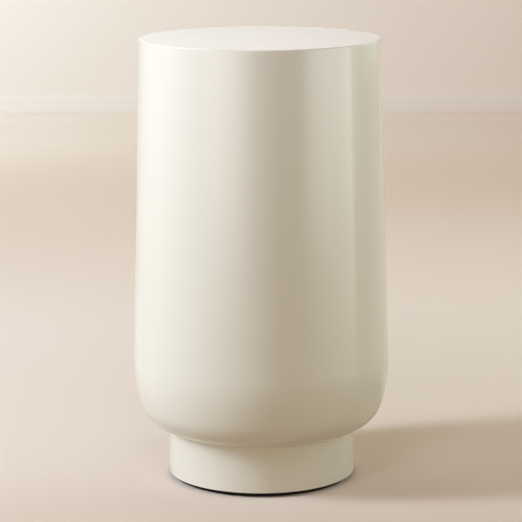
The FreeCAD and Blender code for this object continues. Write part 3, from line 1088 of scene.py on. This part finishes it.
@dataclass
class Studio:
    """Pale seamless sweep, soft lamps and the camera."""

    floor_reach: float = 6.0
    floor_back: float = 3.3
    curve_radius: float = 0.05
    curve_steps: int = 24
    wall_top: float = 3.2
    paper_roughness: float = 0.9
    paper_gloss: float = 0.2
    # Painted light and shade along the floor: a place along Y and the paper's colour there, darker at the front
    # and near 2.2 m, lighter near 0.9 m.
    painted_floor_light_stops: tuple[tuple[float, Colour], ...] = (
        (-0.35, (0.64, 0.525, 0.425)), (0.15, (0.80, 0.70, 0.61)), (0.9, (0.89, 0.80, 0.735)),
        (2.2, (0.725, 0.615, 0.53)), (3.0, (0.81, 0.715, 0.63)), (3.22, (0.86, 0.765, 0.685)),
        (3.29, (0.85, 0.76, 0.68)),
    )
    # Painted shade and light up the wall, by height: darker at the foot of the curve, paler above it and up the
    # wall, which the table's top shows in its gloss.
    painted_wall_light: tuple[tuple[float, float, Colour], ...] = (
        (0.0005, 0.004, (0.785, 0.71, 0.64)), (0.022, 0.05, (0.96, 0.875, 0.80)),
        (0.3, 0.9, (0.95, 0.93, 0.92)),
    )
    bounce: Colour = (0.55, 0.46, 0.345)
    surround: Colour = (0.76, 0.675, 0.585)
    clear_side: Span = (0.36, 0.95)
    clear_front: Span = (0.3, 0.95)
    clear_spread: float = 0.115
    apron_start: float = -0.5
    ambient: float = 0.272
    ambient_colour: Colour = (1.0, 0.77, 0.27)
    camera_place: Point = (0.0, -2.7336, 0.7986)
    camera_pitch: float = 0.1948
    camera_roll: float = 0.0035
    camera_lens: float = 161.7
    camera_sensor: float = 36.0
    camera_clip: Span = (0.05, 50.0)

    def sheet_of_paper(
        self, name: str, finish: bpy.types.Material, front: float, back: float, rises: bool,
    ) -> bpy.types.Object:
        """Lays one sheet of paper on the floor.

        Args:
            name: name of the sheet.
            finish: the paper's material.
            front: where its front edge lies.
            back: where it ends, or where it starts to rise.
            rises: whether it curves up into a wall at its back.

        Returns:
            The sheet.
        """
        paper = bmesh.new()
        edge = [paper.verts.new((side * self.floor_reach, front, 0.0)) for side in (-1.0, 1.0)]
        bmesh.ops.contextual_create(paper, geom=edge)
        floor = bmesh.ops.extrude_edge_only(paper, edges=paper.edges[:])
        far = [part for part in floor["geom"] if isinstance(part, bmesh.types.BMVert)]
        bmesh.ops.translate(paper, vec=(0.0, back - front, 0.0), verts=far)
        if rises:
            last = [part for part in paper.edges if all(vert in far for vert in part.verts)]
            centre = (0.0, back, self.curve_radius)
            turned = spin(paper, last + far, centre, (1.0, 0.0, 0.0), QUARTER_TURN, self.curve_steps)
            rim = [part for part in turned["geom_last"] if isinstance(part, bmesh.types.BMEdge)]
            risen = bmesh.ops.extrude_edge_only(paper, edges=rim)
            tops = [part for part in risen["geom"] if isinstance(part, bmesh.types.BMVert)]
            bmesh.ops.translate(paper, vec=(0.0, 0.0, self.wall_top - self.curve_radius), verts=tops)
        bmesh.ops.recalc_face_normals(paper, faces=paper.faces[:])
        if max(paper.faces, key=lambda face: face.calc_area()).normal.z < 0.0:
            bmesh.ops.reverse_faces(paper, faces=paper.faces[:])
        mesh = bpy.data.meshes.new(name)
        paper.to_mesh(mesh)
        paper.free()
        mesh.shade_smooth()
        mesh.materials.append(finish)
        sheet = bpy.data.objects.new(name, mesh)
        bpy.context.scene.collection.objects.link(sheet)
        return sheet

    def painted_floor_light(self, wiring: Wiring, depth: Socket) -> Socket:
        """Painted light and shade on the paper from the front to the back: darker at the front and in a band near
        2.2 m, lighter near 0.9 m.

        Args:
            wiring: wiring of the material's tree.
            depth: place along Y.

        Returns:
            The tone's socket.
        """
        low, high = self.painted_floor_light_stops[0][0], self.painted_floor_light_stops[-1][0]
        ramp = wiring.add("ShaderNodeValToRGB", {"Fac": wiring.between(depth, low, high)})
        ramp.color_ramp.interpolation = "EASE"
        stops = ramp.color_ramp.elements
        while len(stops) < len(self.painted_floor_light_stops):
            stops.new(0.5)
        for stop, (place, colour) in zip(stops, self.painted_floor_light_stops):
            stop.position = (place - low) / (high - low)
            stop.color = (*colour, 1.0)
        return ramp.outputs["Color"]

    def paper(self) -> bpy.types.Material:
        """Makes the sweep's matt paper, with painted light and shade along its floor and up its wall, and duller
        in what it throws back at the table.

        Returns:
            The material.
        """
        made = bpy.data.materials.new("sweep_paper")
        made.use_nodes = True
        wiring = Wiring(made.node_tree)
        coords = wiring.add("ShaderNodeTexCoord")
        place = wiring.add("ShaderNodeSeparateXYZ", {"Vector": coords.outputs["Object"]})
        # The paper's colour carries painted light and shade: along the floor by Y, then up the wall by height.
        tone = self.painted_floor_light(wiring, place.outputs["Y"])
        for low, high, colour in self.painted_wall_light:
            tone = wiring.blend(wiring.between(place.outputs["Z"], low, high), tone, (*colour, 1.0))
        path = wiring.add("ShaderNodeLightPath")
        shader = wiring.add("ShaderNodeBsdfPrincipled", {
            "Base Color": wiring.blend(path.outputs["Is Diffuse Ray"], tone, (*self.bounce, 1.0), "MULTIPLY"),
            "Roughness": self.paper_roughness, "Specular IOR Level": self.paper_gloss,
        })
        air = wiring.add("ShaderNodeEmission", {"Color": (*self.surround, 1.0), "Strength": 1.0})
        far = wiring.math("MULTIPLY", self.far_share(wiring, place), self.shown(wiring, path))
        surface = wiring.either(far, shader.outputs["BSDF"], air.outputs[0])
        facing = wiring.add("ShaderNodeNewGeometry")
        under = wiring.math("MULTIPLY", facing.outputs["Backfacing"], path.outputs["Is Camera Ray"])
        clear = wiring.add("ShaderNodeBsdfTransparent")
        surface = wiring.either(under, surface, clear.outputs[0])
        wiring.add("ShaderNodeOutputMaterial", {"Surface": surface})
        made.cycles.emission_sampling = "NONE"
        return made

    def shown(self, wiring: Wiring, path: Node) -> Socket:
        """Gives 1 for the rays that show the background, seen straight, in gloss or through glass."""
        seen = wiring.math("MAXIMUM", path.outputs["Is Camera Ray"], path.outputs["Is Glossy Ray"])
        return wiring.math("MAXIMUM", seen, path.outputs["Is Transmission Ray"])

    def far_share(self, wiring: Wiring, place: Node) -> Socket:
        """Share of the even surround in the paper: none round the table and behind it, all far out.

        Args:
            wiring: wiring of the material's tree.
            place: node with the place along X, Y and Z.

        Returns:
            The share's socket.
        """
        depth = wiring.math("MAXIMUM", place.outputs["Y"], 0.0)
        across = wiring.math("ABSOLUTE", place.outputs["X"])
        side = wiring.math("SUBTRACT", across, wiring.math("MULTIPLY", depth, self.clear_spread))
        front = wiring.math("MULTIPLY", place.outputs["Y"], -1.0)
        shares = [
            wiring.between(away, *limits, interpolation_type="SMOOTHSTEP")
            for away, limits in ((side, self.clear_side), (front, self.clear_front))
        ]
        return wiring.math("MAXIMUM", *shares)

    def sweep(self) -> None:
        """Lays the sweep, and the apron before it, which sends no light back to the table."""
        paper = self.paper()
        self.sheet_of_paper("studio_sweep", paper, self.apron_start, self.floor_back, rises=True)
        apron = self.sheet_of_paper("studio_apron", paper, -self.floor_reach, self.apron_start, rises=False)
        apron.visible_diffuse = apron.visible_glossy = False

    def around(self, azimuth: float, height: float, away: float) -> Point:
        """Point at an azimuth in degrees, 0 in front and 90 at the right, a height and a distance."""
        turn = math.radians(azimuth)
        return (away * math.sin(turn), -away * math.cos(turn), height)

    def lamps(self) -> list[Lamp]:
        """Lists the lamps, in the order they are hung.

        Returns:
            The lamps.
        """
        middle = (0.0, 0.0, 0.25)
        return [
            Lamp("key", self.around(-78.5, 1.12, 2.02), middle, 0.5, 1.1, 43.8, (0.67, 0.76, 1.0), Panel.BEAM),
            Lamp("key_high", self.around(-77.0, 1.6, 1.8), middle, 0.95, 1.0, 12.9, (0.82, 0.96, 0.87)),
            Lamp("left_low", self.around(-64.0, 0.22, 2.2), (0.0, 0.0, 0.1), 1.2, 0.4, 2.1, (0.83, 0.99, 1.0),
                 Panel.BEAM),
            Lamp("front_left", self.around(-32.0, 0.42, 2.3), middle, 2.2, 1.1, 5.3, (1.0, 0.97, 0.95)),
            Lamp("near_front", (-0.15, -0.85, 1.15), (0.0, 0.0, 0.45), 0.6, 0.6, 3.1, (0.65, 0.64, 0.97)),
            Lamp("right_front", self.around(56.0, 0.54, 2.3), (0.0, 0.0, 0.5), 1.6, 1.2, 5.4, (0.88, 0.97, 1.0)),
            Lamp("right_side", self.around(84.0, 0.6, 2.3), (0.0, 0.0, 0.6), 1.6, 1.2, 4.2, (0.79, 0.95, 1.0)),
            Lamp("right_back", self.around(120.0, 0.86, 2.3), (0.0, 0.0, 0.6), 2.4, 1.2, 8.4, (0.85, 1.0, 0.98)),
            Lamp("right_card", self.around(60.0, 0.4, 0.55), (0.0, 0.0, 0.4), 0.49, 0.8, 0.58, (1.0, 1.0, 0.97),
                 Panel.CARD),
            Lamp("right_high", self.around(90.0, 1.2, 2.0), middle, 1.1, 1.1, 7.4, (0.80, 0.86, 1.0), Panel.BEAM),
            Lamp("back", self.around(180.0, 1.4, 2.2), middle, 1.3, 1.3, 2.0, (1.0, 0.75, 0.71)),
            Lamp("wall_left", (-1.6, 2.3, 2.1), (-1.2, 3.42, 0.9), 1.3, 1.3, 40.0, (0.80, 0.92, 1.0)),
            Lamp("wall_left_low", (-1.7, 2.3, 0.8), (-1.0, 3.42, 0.5), 1.1, 1.1, 8.1, (0.51, 0.77, 1.0)),
            Lamp("wall_right", (1.35, 2.4, 2.2), (0.7, 3.42, 1.1), 1.1, 1.1, 8.8, (0.96, 0.82, 1.0)),
        ]

    def ambience(self) -> None:
        """Sets the even light all round, and the pale tone that shows where there is no paper."""
        world = bpy.data.worlds.new("studio_air")
        world.use_nodes = True
        wiring = Wiring(world.node_tree)
        air = wiring.add("ShaderNodeBackground", {
            "Color": (*self.ambient_colour, 1.0), "Strength": self.ambient,
        })
        haze = wiring.add("ShaderNodeBackground", {"Color": (*self.surround, 1.0), "Strength": 1.0})
        path = wiring.add("ShaderNodeLightPath")
        surface = wiring.either(self.shown(wiring, path), air.outputs[0], haze.outputs[0])
        wiring.add("ShaderNodeOutputWorld", {"Surface": surface})
        bpy.context.scene.world = world

    def camera(self) -> None:
        """Sets up the camera where the photograph was taken from."""
        lens = bpy.data.cameras.new("camera")
        lens.sensor_width, lens.lens = self.camera_sensor, self.camera_lens
        lens.clip_start, lens.clip_end = self.camera_clip
        camera = bpy.data.objects.new("camera", lens)
        bpy.context.scene.collection.objects.link(camera)
        camera.matrix_world = (
            Matrix.Translation(self.camera_place)
            @ Matrix.Rotation(QUARTER_TURN - self.camera_pitch, 4, "X")
            @ Matrix.Rotation(-self.camera_roll, 4, "Z")
        )
        bpy.context.scene.camera = camera

    def build(self) -> None:
        """Sets the whole studio up."""
        self.sweep()
        self.ambience()
        for lamp in self.lamps():
            lamp.build()
            LOG.info("lamp %s: %.0f W", lamp.name, lamp.watts)
        self.camera()
        bpy.context.scene.view_settings.view_transform = "Standard"


def main() -> None:
    """Builds the table and its studio."""
    logging.basicConfig(level=logging.INFO, format="%(name)s: %(message)s")
    Drum().build()
    Foot().build()
    Base().build()
    CarriedOver().build()
    Studio().build()


if __name__ == "__main__":
    main()
